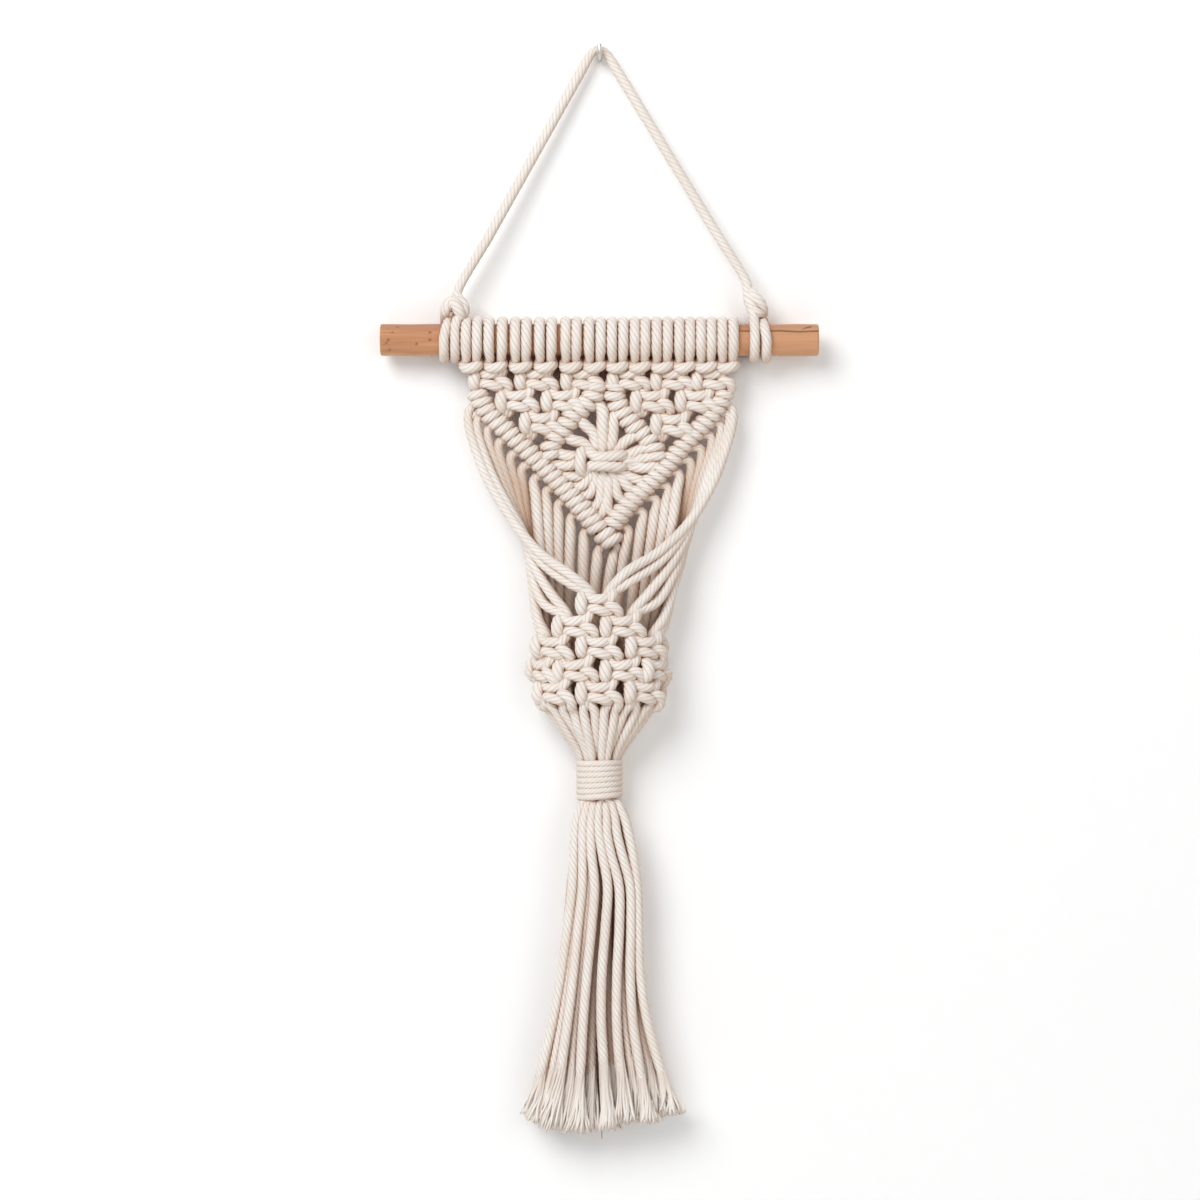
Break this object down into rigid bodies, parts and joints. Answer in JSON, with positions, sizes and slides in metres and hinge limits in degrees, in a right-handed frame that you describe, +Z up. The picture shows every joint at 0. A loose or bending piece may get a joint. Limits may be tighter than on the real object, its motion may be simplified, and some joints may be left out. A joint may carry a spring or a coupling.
{
  "type": "macrame wall hanging on wooden dowel with wire wall hook",
  "caption": "Knotted cotton wall hanging: flat panel with a flower knot, hollow knotted pocket, gathered neck and brushed tassel, on a dowel and cord over a hook.",
  "frame": {"origin": "middle of the hook's flat end on the wall", "axes": "+Z up, +X to the right seen from the front, +Y into the wall, the front faces -Y"},
  "size_m": [0.219, 0.038, 0.5458],
  "materials": {
    "wood": "bare reddish-brown wood, fine grain with small dark specks",
    "metal": "plain bright wire",
    "cotton": "natural off-white three-ply twisted cotton cord"
  },
  "bodies": {
    "root": {"dowel": "wood", "hook": "metal", "hanger_cord": "cotton", "panel": "cotton", "pocket": "cotton", "gather_wrap": "cotton", "tassel": "cotton"}
  },
  "joints": []
}
